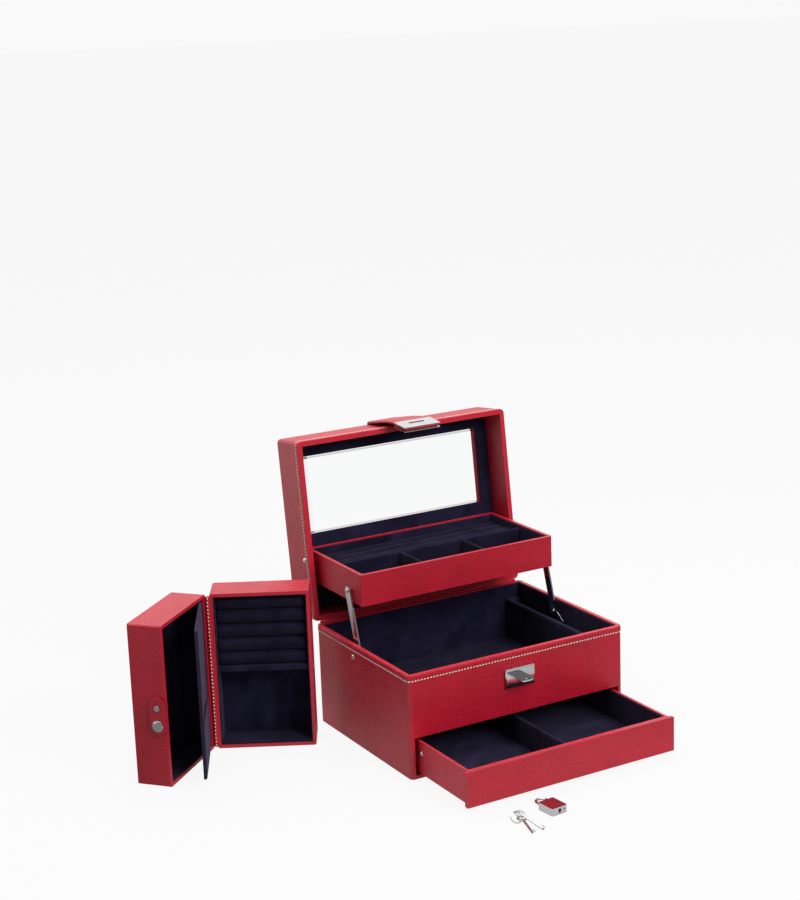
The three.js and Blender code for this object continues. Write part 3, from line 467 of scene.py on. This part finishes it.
def dress(node, material, bevel=None, segments=3):
    """Gives a CAD node its material, joined faces and, where asked, rounded edges with flat sides."""
    piece = NODES[node]
    clean(piece.data)
    piece.data.materials.clear()
    piece.data.materials.append(material)
    weld = piece.modifiers.new("weld", "WELD")
    weld.merge_threshold = WELD
    if bevel:
        rounding = piece.modifiers.new("bevel", "BEVEL")
        rounding.width = bevel
        rounding.segments = segments
        rounding.limit_method = "ANGLE"
        rounding.angle_limit = radians(40)
        rounding.harden_normals = True
    return piece


def dress_nodes(materials):
    """Every CAD node takes the material of its slot, or its own where it is in the list of shells."""
    shells = {
        "case_shell": "case", "lid_shell": "lid", "tray_shell": "tray",
        "travel_base_shell": "travel_base", "travel_lid_shell": "travel_lid", "travel_leaf": "leaf",
        "side_rail_left": "suede", "side_rail_right": "suede",
    }
    small = {"hinge_roll", "travel_spine", "arm_spring_left", "arm_spring_right", "key_ring"}
    by_slot = {
        "red_leather": "leather", "red_edge": "edge", "navy_suede": "suede", "padded_suede": "soft",
        "mirror_glass": "glass", "bright_metal": "metal",
    }
    bevels = {"red_leather": 1.1 * MM, "red_edge": 1.1 * MM, "bright_metal": 0.2 * MM}
    for node, slot in SLOTS.items():
        finish = materials[shells.get(node, by_slot[slot])]
        bevel = None if node in small else bevels.get(slot, 0.4 * MM)
        dress(node, finish, bevel)
    mirror = NODES["mirror"]
    mirror.modifiers.remove(mirror.modifiers["bevel"])
    mirror.data.shade_flat()


# ---------------------------------------------------------------- mesh tools


def add_piece(name, points, faces, material):
    """A smooth-shaded piece of its own, in the given material and slot."""
    mesh = bpy.data.meshes.new(name)
    mesh.from_pydata([tuple(point) for point in points], [], faces)
    mesh.update()
    mesh.shade_smooth()
    mesh.materials.append(material)
    piece = bpy.data.objects.new(name, mesh)
    COLLECTION.objects.link(piece)
    return piece


def grid_faces(rows, columns, close_rows=False, close_columns=True):
    """Quads of a swept surface whose points are stored row by row."""
    faces = []
    for i in range(rows if close_rows else rows - 1):
        for k in range(columns if close_columns else columns - 1):
            here, there = i * columns, (i + 1) % rows * columns
            beside = (k + 1) % columns
            faces.append((here + k, here + beside, there + beside, there + k))
    return faces


def capped(rows, columns):
    """Faces of a swept closed section with flat ends."""
    last = (rows - 1) * columns
    ends = [tuple(range(columns))[::-1], tuple(range(last, last + columns))]
    return grid_faces(rows, columns) + ends


def outlined(half_x, half_y, radius, step=4 * MM):
    """Points and outward normals round a rectangle with round corners, at even steps."""
    points = []
    corners = ((1, 1, 0), (-1, 1, 90), (-1, -1, 180), (1, -1, 270))
    for index, (sx, sy, start) in enumerate(corners):
        centre = Vector((sx * (half_x - radius), sy * (half_y - radius), 0))
        turns = max(4, round(pi / 2 * radius / step) + 3)
        for i in range(turns + 1):
            angle = radians(start + 90 * i / turns)
            outward = Vector((cos(angle), sin(angle), 0))
            points.append((centre + radius * outward, outward))
        sx2, sy2, start2 = corners[(index + 1) % 4]
        after = Vector((sx2 * (half_x - radius), sy2 * (half_y - radius), 0))
        outward = Vector((cos(radians(start2)), sin(radians(start2)), 0))
        begin, end = centre + radius * outward, after + radius * outward
        count = round((end - begin).length / step)
        points += [(begin.lerp(end, i / count), outward) for i in range(1, count)]
    return points


def evenly(path, pitch):
    """Places along a closed or open list of (point, normal) at an even pitch, with directions."""
    lengths = [0.0]
    for (a, _), (b, _) in zip(path, path[1:]):
        lengths.append(lengths[-1] + (b - a).length)
    count = int(lengths[-1] / pitch)
    pitch = lengths[-1] / count
    places, k = [], 0
    for i in range(count):
        at = (i + 0.5) * pitch
        while lengths[k + 1] < at:
            k += 1
        share = (at - lengths[k]) / (lengths[k + 1] - lengths[k])
        (a, normal_a), (b, normal_b) = path[k], path[k + 1]
        normal = normal_a.lerp(normal_b, share).normalized()
        places.append((a.lerp(b, share), normal, (b - a).normalized()))
    return places


STITCH = {"pitch": 4.0 * MM, "length": 3.2 * MM, "radius": 0.68 * MM, "lean": radians(9)}


def stitches(name, path, material, matrix=None, pitch=STITCH["pitch"], length=STITCH["length"],
             radius=STITCH["radius"]):
    """A row of slightly leaning stitches that dip into the leather at their ends."""
    lean = STITCH["lean"]
    sides, rings = 6, 5
    points, faces = [], []
    for place, normal, along in evenly(path, pitch):
        across = normal.cross(along)
        direction = along * cos(lean) + across * sin(lean)
        across = normal.cross(direction)
        first = len(points)
        for i in range(rings):
            t = i / (rings - 1) * 2 - 1
            thick = radius * (1 - 0.75 * t ** 4)
            centre = place + direction * (t * length / 2) + normal * radius * (0.45 - 0.9 * t * t)
            for k in range(sides):
                angle = 2 * pi * k / sides
                points.append(centre + thick * (cos(angle) * across + 0.8 * sin(angle) * normal))
        faces += [tuple(first + corner for corner in face) for face in capped(rings, sides)]
    if matrix is not None:
        points = [matrix @ point for point in points]
    return add_piece(name, points, faces, material)


def swept_band(name, path, profile, material, matrix=None):
    """Sweeps a closed profile of (outward, upward) pairs round a closed path."""
    up = Vector((0, 0, 1))
    points = [point + out * normal + rise * up for point, normal in path for out, rise in profile]
    if matrix is not None:
        points = [matrix @ point for point in points]
    faces = grid_faces(len(path), len(profile), close_rows=True)
    return add_piece(name, points, faces, material)


def baked(piece):
    """The piece with its modifiers applied."""
    graph = bpy.context.evaluated_depsgraph_get()
    mesh = bpy.data.meshes.new_from_object(piece.evaluated_get(graph))
    piece.modifiers.clear()
    piece.data = mesh
    return piece


# ---------------------------------------------------------------- stitching and turned edges

EDGE_BAND = 6.4 * MM  # width of the turned edge
STITCH_GAP = 0.6 * MM  # from the turned edge to the stitch line
RIM_ROUND = 0.5 * MM  # the turned edge starts this far from the rim
BAND_PROUD = 0.45 * MM


def edge_band(name, path, rim, direction, material, matrix, body):
    """The padded turned edge between a rim and its stitch line."""
    steps = 6
    shares = [i / steps for i in range(steps + 1)]
    outer = [(BAND_PROUD * sin(pi * share) ** 0.6, direction * EDGE_BAND * share) for share in shares]
    inner = [(-0.5 * MM, rise) for _, rise in reversed(outer)]
    ring = [(point + Vector((0, 0, rim)), normal) for point, normal in path]
    profile = outer + inner
    if direction < 0:
        profile.reverse()
    band = swept_band(name, ring, profile, material, matrix)
    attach(band, body)


def stitch_rows(materials):
    """Turned edge and stitching round the rims of the base and of the open lid."""
    path = outlined(HALF_WIDTH, HALF_DEPTH, CORNER)
    looped = path + path[:1]
    rim = CASE_HIGH.z
    edge_band("case_edge_band", path, rim - RIM_ROUND, -1, materials["case"], None, "case")
    row = [(point + Vector((0, 0, rim - EDGE_BAND - STITCH_GAP)), normal) for point, normal in looped]
    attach(stitches("case_stitching", row, materials["thread"]), "case")

    middle = Vector((0, LID_MIDDLE, 0))
    lid_path = [(point + middle, normal) for point, normal in path]
    edge_band("lid_edge_band", lid_path, LID_RIM + RIM_ROUND, 1, materials["lid"], LID, "lid")
    height = Vector((0, 0, LID_RIM + EDGE_BAND + STITCH_GAP))
    row = [(point + middle + height, normal) for point, normal in looped]
    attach(stitches("lid_stitching", row, materials["thread"], LID), "lid")


# ---------------------------------------------------------------- strap, spine and hinge leather

# Half widths of the strap on the lid and at the clasp. Places along it are (out, up) from the foot
# of the lid's front wall, in millimetres: see pair() and beside_lid().
STRAP = {"half": 23.5 * MM, "fold_half": 19 * MM, "thick": 3.0 * MM, "seam_inset": 3.6 * MM}
ANCHOR = {"length": 44, "end": -0.4, "up": 57.3}
OVER = {"centre": (0.2, 55.0), "radius": 2.4 * MM}
ARCH = ((2.8, 46), (6.2, 20), (6.9, 4))
LOW = ((7.3, -6), (7.0, -14), (5.9, -21))
TIP_END = (0.1, -46.3)
SLOT = {"centre": (3.16, -32.1), "half_size": (10.4 * MM, 8 * MM, 2 * MM)}
PLATES = ((5.6, -21), (0, -46.5))


def arc_path(centre, radius, start, end, steps):
    """Points in a plane, as (out, up) pairs."""
    pairs = []
    for i in range(steps + 1):
        angle = radians(start + (end - start) * i / steps)
        pairs.append(Vector((centre[0] + radius * cos(angle), centre[1] + radius * sin(angle))))
    return pairs


def bezier(a, b, c, d, steps):
    """Points of a cubic curve, without its first one."""
    pairs = []
    for i in range(1, steps + 1):
        t = i / steps
        pairs.append(a * (1 - t) ** 3 + b * 3 * t * (1 - t) ** 2 + c * 3 * t * t * (1 - t) + d * t ** 3)
    return pairs


def leather_strip(name, centre_line, material, half, thick, place, half_at_end=None):
    """A strip with rounded edges, swept along (out, up) pairs; place() turns (x, out, up) to 3-D.

    It widens smoothly from half at its start to half_at_end, reached 60% of the way along.
    """
    round_edge = 0.42 * thick
    widening = 0 if half_at_end is None else half_at_end - half
    section = []
    for side, start in ((1, -90), (-1, 90)):
        for i in range(7):
            angle = radians(start + 180 * i / 6)
            x = side * (half - round_edge) + round_edge * cos(angle)
            section.append((side, x, thick / 2 * sin(angle)))
    points = []
    for i, here in enumerate(centre_line):
        before = centre_line[max(i - 1, 0)]
        after = centre_line[min(i + 1, len(centre_line) - 1)]
        along = (after - before).normalized()
        across = Vector((along.y, -along.x))
        taper = 0.8 if i in (0, len(centre_line) - 1) else 1
        t = min(1, i / (0.6 * (len(centre_line) - 1)))
        wider = widening * t * t * (3 - 2 * t)
        for side, x, rise in section:
            spot = here + across * rise * taper
            points.append(place(x + side * wider, spot.x, spot.y))
    return add_piece(name, points, capped(len(centre_line), len(section)), material)


def beside_lid(x, out, up):
    """From distance out of the lid's front wall and height over its rim to the open lid."""
    return LID @ Vector((x, LID_FRONT - out, LID_RIM + up))


def pair(out, up):
    """A place beside the lid, given in millimetres."""
    return Vector((out * MM, up * MM))


def strap_lines():
    """Middle lines of the strap: sewn part and turn over the edge, loose loop, and sewn part alone."""
    over = arc_path(pair(*OVER["centre"]), OVER["radius"], 90, 0, 8)
    reach = [ANCHOR["length"] * (1 - i / 11) for i in range(12)]
    anchor = [pair(ANCHOR["end"] - back, ANCHOR["up"]) for back in reach]
    arch_points = [pair(*place) for place in ARCH]
    low_points = [pair(*place) for place in LOW]
    arch = bezier(over[-1], *arch_points, 12)
    low = bezier(arch_points[-1], *low_points, 6)
    tip = [low_points[-1].lerp(pair(*TIP_END), i / 6) for i in range(1, 7)]
    return anchor + over[:6], over[4:] + arch + low + tip, anchor


def add_strap(materials):
    """The clasp's strap: sewn on the lid, turned over its edge and hanging in a loop."""
    top_line, loop_line, anchor = strap_lines()
    half, thick = STRAP["fold_half"], STRAP["thick"]
    top = leather_strip("strap_top", top_line, materials["leather"], half, thick, beside_lid)
    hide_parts("strap_anchor", "strap_fold")
    loop = leather_strip(
        "strap_loop", loop_line, materials["leather"], half, thick, beside_lid, STRAP["half"],
    )
    cut_slot(loop)
    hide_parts("clasp_strap")
    outward = LID.to_3x3() @ Vector((0, 0, 1))
    for name, side in (("strap_stitching_left", -1), ("strap_stitching_right", 1)):
        x = side * (half - STRAP["seam_inset"])
        row = [(beside_lid(x, p.x, p.y + thick / 2), outward) for p in anchor[1:]]
        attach(stitches(name, row, materials["thread"]), "lid")
    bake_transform(top)
    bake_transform(loop)


def cut_slot(loop):
    """The slot in the strap, in line with the slots of the clasp plates."""
    centre, top, foot = (beside_lid(0, *pair(*place)) for place in (SLOT["centre"], *PLATES))
    along = (top - foot).normalized()
    x_axis = Vector((1, 0, 0))
    y_axis = along.cross(x_axis)
    half_x, half_y, half_z = SLOT["half_size"]
    points = []
    for sx in (-1, 1):
        for sy in (-1, 1):
            for sz in (-1, 1):
                corner = x_axis * sx * half_x + y_axis * sy * half_y + along * sz * half_z
                points.append(centre + corner)
    faces = [(0, 1, 3, 2), (4, 6, 7, 5), (0, 4, 5, 1), (2, 3, 7, 6), (0, 2, 6, 4), (1, 5, 7, 3)]
    mesh = bpy.data.meshes.new("slot_cutter")
    mesh.from_pydata(points, [], faces)
    cutter = bpy.data.objects.new("slot_cutter", mesh)
    COLLECTION.objects.link(cutter)
    cutting = loop.modifiers.new("slot", "BOOLEAN")
    cutting.operation = "DIFFERENCE"
    cutting.solver = "EXACT"
    cutting.object = cutter
    baked(loop)
    bpy.data.objects.remove(cutter)


SPINE_WEB = {"half_height": 92 * MM, "turn": (-40, -182), "reach": 3.7 * MM, "seam": -96}
HINGE_WEB = {"inset": 7 * MM, "radius": 2.0 * MM, "turn": (200, 62)}


def add_spine(materials):
    """Stitched leather web between the two halves of the travel case, bent round its axis."""
    rise, reach = SPINE_WEB["half_height"], SPINE_WEB["reach"]
    middle = TRAVEL_HEIGHT / 2
    heights = [middle - rise + 2 * rise * i / 60 for i in range(61)]
    turn_from, turn_to = SPINE_WEB["turn"]
    line = arc_path((SPINE_LOCAL.x, SPINE_LOCAL.y), reach, turn_from, turn_to, 14)
    section = line + [Vector((SPINE_LOCAL.x, SPINE_LOCAL.y)).lerp(p, 0.66) for p in reversed(line)]
    points = [TRAVEL @ Vector((p.x, p.y, z)) for z in heights for p in section]
    faces = capped(len(heights), len(section))
    web = add_piece("spine_web", points, faces, materials["leather"])
    angle = radians(SPINE_WEB["seam"])
    outward = Vector((cos(angle), sin(angle), 0))
    centre = Vector((SPINE_LOCAL.x, SPINE_LOCAL.y, 0)) + reach * outward
    flat = TRAVEL.to_3x3() @ outward
    row = [(TRAVEL @ (centre + Vector((0, 0, z))), flat) for z in heights]
    seam = stitches(
        "spine_stitching", row, materials["thread"], pitch=4.4 * MM, length=2.6 * MM, radius=0.75 * MM,
    )
    for piece in (web, seam):
        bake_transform(piece)


def add_hinge_leather(materials):
    """Leather that covers the gap between the base and the lid, seen inside the open case."""
    half = HALF_WIDTH - HINGE_WEB["inset"]
    count = 40
    line = arc_path((0, 0), HINGE_WEB["radius"], *HINGE_WEB["turn"], 8)
    section = line + [0.6 * p for p in reversed(line)]
    points = []
    for i in range(count + 1):
        x = -half + 2 * half * i / count
        points += [HINGE + Vector((x, p.x, p.y)) for p in section]
    web = add_piece("hinge_web", points, capped(count + 1, len(section)), materials["leather"])
    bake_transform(web)


# ---------------------------------------------------------------- padded pieces


def soft_copy(node, name, material, voxel, smoothing, body, fill, puff=0.0):
    """A padded piece in the place of a plain CAD solid: its edges rounded off and lightly uneven.

    voxel and smoothing set how far the edges are rounded off, and puff swells the piece.
    """
    source = NODES[node]
    mesh = source.data.copy()
    piece = bpy.data.objects.new(name, mesh)
    COLLECTION.objects.link(piece)
    weld = piece.modifiers.new("weld", "WELD")
    weld.merge_threshold = WELD
    remesh = piece.modifiers.new("remesh", "REMESH")
    remesh.mode = "VOXEL"
    remesh.voxel_size = voxel
    smooth = piece.modifiers.new("smooth", "SMOOTH")
    smooth.factor = 0.5
    smooth.iterations = smoothing
    texture = bpy.data.textures.get("padding") or bpy.data.textures.new("padding", "CLOUDS")
    texture.noise_scale = 0.03
    uneven = piece.modifiers.new("uneven", "DISPLACE")
    uneven.texture = texture
    uneven.texture_coords = "LOCAL"
    uneven.strength = 0.9 * MM
    uneven.mid_level = 0.5 - puff
    baked(piece)
    piece.data.shade_smooth()
    piece.data.materials.clear()
    piece.data.materials.append(material)
    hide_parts(node)
    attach(piece, body)


def add_padding(materials):
    """Side rails, dividers and ring rolls."""
    soft, suede_look = materials["soft"], materials["suede"]
    rolls = {"smoothing": 3, "fill": 0.95, "puff": 0.3}
    walls = {"smoothing": 4, "fill": 0.9}
    for side in ("left", "right"):
        soft_copy(
            f"side_rail_{side}", f"rail_padding_{side}", suede_look,
            voxel=1.6 * MM, smoothing=10, body="case", fill=0.7,
        )
        soft_copy(
            f"tray_divider_{side}", f"tray_partition_{side}", soft, voxel=1.1 * MM, body="tray", **walls,
        )
    soft_copy("tray_long_divider", "tray_partition_long", soft, voxel=1.2 * MM, body="tray", **walls)
    soft_copy("drawer_divider", "drawer_partition", soft, voxel=1.3 * MM, body="drawer", **walls)
    for i in range(1, 5):
        soft_copy(f"tray_ring_roll_{i}", f"tray_roll_{i}", soft, voxel=2.0 * MM, body="tray", **rolls)
    for i in range(1, 6):
        soft_copy(
            f"travel_ring_roll_{i}", f"travel_roll_{i}", soft, voxel=1.8 * MM, body="travel_base", **rolls,
        )


# ---------------------------------------------------------------- leaf, padlock and bolt details


def rounded_panel(width, height, radius, steps=5):
    """Outline of an upright panel as (x, z) pairs from its lower left corner."""
    pairs = []
    corners = (
        (width - radius, height - radius, 0), (radius, height - radius, 90),
        (radius, radius, 180), (width - radius, radius, 270),
    )
    for x, z, start in corners:
        for i in range(steps + 1):
            angle = radians(start + 90 * i / steps)
            pairs.append((x + radius * cos(angle), z + radius * sin(angle)))
    return pairs


def circle(radius, steps, x=0, z=0):
    """Outline of a disc as (x, z) pairs."""
    turns = [2 * pi * i / steps for i in range(steps)]
    return [(x + radius * cos(angle), z + radius * sin(angle)) for angle in turns]


def slab(name, outline, depths, material, place):
    """A flat piece with soft edges: the outline drawn in at each (depth, inset) of the list."""
    xs = [x for x, _ in outline]
    zs = [z for _, z in outline]
    middle = ((min(xs) + max(xs)) / 2, (min(zs) + max(zs)) / 2)
    half = ((max(xs) - min(xs)) / 2, (max(zs) - min(zs)) / 2)
    points = []
    for depth, inset in depths:
        for x, z in outline:
            in_x = middle[0] + (x - middle[0]) * (1 - inset / half[0])
            in_z = middle[1] + (z - middle[1]) * (1 - inset / half[1])
            points.append(place(in_x, depth, in_z))
    piece = add_piece(name, points, capped(len(depths), len(outline)), material)
    for cap in list(piece.data.polygons)[-2:]:
        cap.use_smooth = False
    return piece


LEAF = {"start": 0.6 * MM, "width": 101 * MM, "height": 176 * MM, "half": 1.4 * MM}
POCKET_TOP = 62 * MM
# size of the near-black sheet of painted shade across the pocket's mouth
POCKET_SHADE = {"width": 60 * MM, "height": 9 * MM}


def add_leaf_details(materials):
    """Pocket with a near-black sheet of painted shade in its mouth, and piping round the travel case's leaf."""
    hinge = Vector(JOINTS["leaf_hinge"]["pos_m"])
    hinge.z = (TRAVEL_HEIGHT - LEAF["height"]) / 2
    leaf_open = -JOINTS["leaf_hinge"]["range_deg"][0]
    leaf = Matrix.Translation(hinge) @ turn(TRAVEL_TURN - TRAVEL_OPEN + leaf_open, "Z")

    def on_face(x, depth, z):
        return leaf @ Vector((LEAF["start"] + x, LEAF["half"] + depth, z))

    inset = 3 * MM
    outline = rounded_panel(LEAF["width"] - 2 * inset, POCKET_TOP - inset, 2 * MM)
    outline = [(x + inset, z + inset) for x, z in outline]
    depths = ((0.05 * MM, 0.2 * MM), (0.5 * MM, 0), (1.0 * MM, 0.2 * MM), (1.15 * MM, 0.8 * MM))
    pocket = slab("leaf_pocket", outline, depths, materials["leaf"], on_face)
    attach(pocket, "travel_leaf")
    # Painted shade: a near-black sheet on the face where the pocket's mouth lies in shadow.
    mouth = rounded_panel(POCKET_SHADE["width"], POCKET_SHADE["height"], 1.5 * MM)
    aside = (LEAF["width"] - POCKET_SHADE["width"]) / 2
    mouth = [(x + aside, z + POCKET_TOP) for x, z in mouth]
    mouth_depths = ((-0.3 * MM, 0), (0.06 * MM, 0), (0.1 * MM, 0.3 * MM))
    opening = slab("leaf_pocket_shade", mouth, mouth_depths, materials["dark"], on_face)
    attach(opening, "travel_leaf")
    border = rounded_panel(LEAF["width"] - 2 * MM, LEAF["height"] - 2 * MM, 3 * MM)
    ring = [(x + 1 * MM, z + 1 * MM) for x, z in border]
    sides, radius = 8, 0.75 * MM
    middle_x, middle_z = LEAF["width"] / 2, LEAF["height"] / 2
    points = []
    for x, z in ring:
        outward = Vector((x - middle_x, z - middle_z)).normalized()
        for k in range(sides):
            angle = 2 * pi * k / sides
            shift = radius * cos(angle)
            depth = 0.2 * MM + radius * sin(angle)
            points.append(on_face(x + outward.x * shift, depth, z + outward.y * shift))
    faces = grid_faces(len(ring), sides, close_rows=True)
    piping = add_piece("leaf_piping", points, faces, materials["leaf"])
    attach(piping, "travel_leaf")


def add_keyhole(materials):
    """Keyhole and rivet on the end of the padlock that faces the front, as near-black sheets; the keyhole's is
    painted shade.
    """
    low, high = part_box("padlock_body")
    heading = Vector(JOINTS["shackle_slide"]["axis"])
    across = Vector((heading.y, -heading.x, 0))
    middle = (low + high) / 2
    half_length = 12 * MM
    face = middle - heading * (half_length + 0.02 * MM)

    def on_end(x, depth, z):
        return face + across * x - heading * depth + Vector((0, 0, z))

    depths = ((-0.6 * MM, 0), (0.1 * MM, 0), (0.14 * MM, 0.1 * MM))
    half_slit, slit_foot, slit_top = 0.6 * MM, -3.2 * MM, 0.5 * MM
    # The keyhole and its slot are near-black sheets of painted shade standing in for the shade inside the hole.
    outlines = {
        "padlock_keyhole": circle(2.0 * MM, 16, 0, slit_top),
        "padlock_keyslot": [
            (-half_slit, slit_foot), (half_slit, slit_foot), (half_slit, slit_top), (-half_slit, slit_top),
        ],
        "padlock_rivet": circle(0.8 * MM, 16, 6.2 * MM, 0.6 * MM),
    }
    for name, outline in outlines.items():
        piece = slab(name, outline, depths, materials["dark"], on_end)
        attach(piece, "padlock")


def add_washers(materials):
    """Thin washers under the bolt heads on both sides of the case, the lid and the drawer."""
    radius, thick = 3.3 * MM, 0.5 * MM
    depths = ((-thick, 0), (0.8 * thick, 0), (thick, 0.2 * MM))
    bolts = (
        ("base_pivot", "case_shell", "case"), ("lid_pivot", "lid_shell", "lid"),
        ("drawer_stop", "drawer_box", "drawer"),
    )
    for bolt, wall, body in bolts:
        for side, sign in (("left", -1), ("right", 1)):
            low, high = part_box(f"{bolt}_{side}")
            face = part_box(wall)[1].x
            centre = Vector((sign * face, (low.y + high.y) / 2, (low.z + high.z) / 2))
            outline = circle(radius, 20)
            if sign > 0:
                outline.reverse()

            def beside(y, out, z):
                return centre + Vector((sign * out, y, z))

            name = f"{bolt}_washer_{side}"
            washer = slab(name, outline, depths, materials["metal"], beside)
            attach(washer, body)


# ---------------------------------------------------------------- put together

add_camera()
add_world()
add_floor()
add_softbox("overhead", (0.0, 0.1, 2.2), (-0.1, 0, 0.1), (2.4, 1.8), 34)
add_softbox("key", (0.6, -2.3, 1.7), (0, 0, 0.1), (1.6, 1.2), 62, reflected=False)
bpy.context.scene.view_settings.view_transform = "Standard"

looks = make_materials()
dress_nodes(looks)
stitch_rows(looks)
add_strap(looks)
add_spine(looks)
add_hinge_leather(looks)
add_padding(looks)
add_leaf_details(looks)
add_keyhole(looks)
add_washers(looks)
